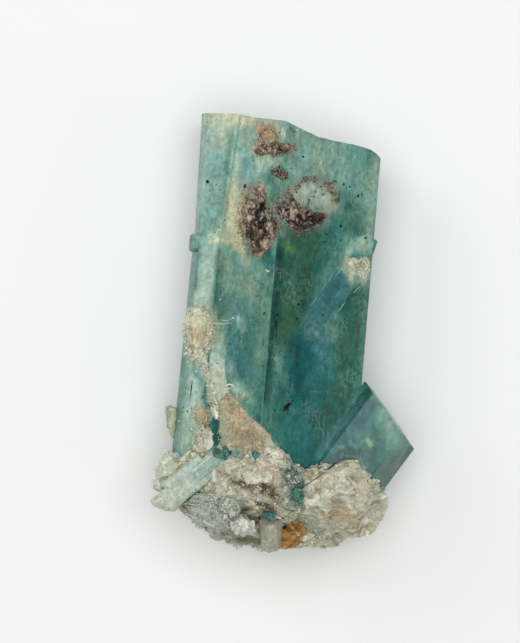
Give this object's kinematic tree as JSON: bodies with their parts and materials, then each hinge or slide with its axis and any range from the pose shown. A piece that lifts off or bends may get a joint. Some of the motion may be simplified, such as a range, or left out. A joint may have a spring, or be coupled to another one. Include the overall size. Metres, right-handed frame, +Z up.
{
  "type": "aquamarine crystal",
  "caption": "Natural aquamarine crystal group: a long translucent blue-green prism with smaller crystals beside it, its root in a pale crust of feldspar, quartz and mica.",
  "frame": {"origin": "on the flat back of the main crystal, under the middle of its width and about halfway along the group", "axes": "+Y along the main crystal's long axis towards its broken top, +X to its right, +Z up out of its front; it lies on Z = 0"},
  "size_m": [0.0252, 0.0416, 0.0139],
  "materials": {
    "aquamarine": "satin",
    "pale_aquamarine": "satin",
    "feldspar": "matte",
    "white_feldspar": "satin",
    "quartz": "satin",
    "yellow_quartz": "satin",
    "smoky_quartz": "satin",
    "mica": "satin",
    "iron_stain": "matte",
    "brown_grains": "matte"
  },
  "bodies": {
    "root": {"aquamarine_crystal": "aquamarine", "small_aquamarine": "pale_aquamarine", "feldspar_matrix": "feldspar", "cream_patch": "feldspar", "tan_patch": "feldspar", "feldspar_block": "white_feldspar", "quartz_cluster": "quartz", "quartz_chip": "yellow_quartz", "smoky_quartz": "smoky_quartz", "mica_book": "mica", "iron_stained_grain": "iron_stain", "brown_grains_top": "brown_grains", "brown_grains_left": "brown_grains", "brown_grains_right": "brown_grains"}
  },
  "joints": []
}
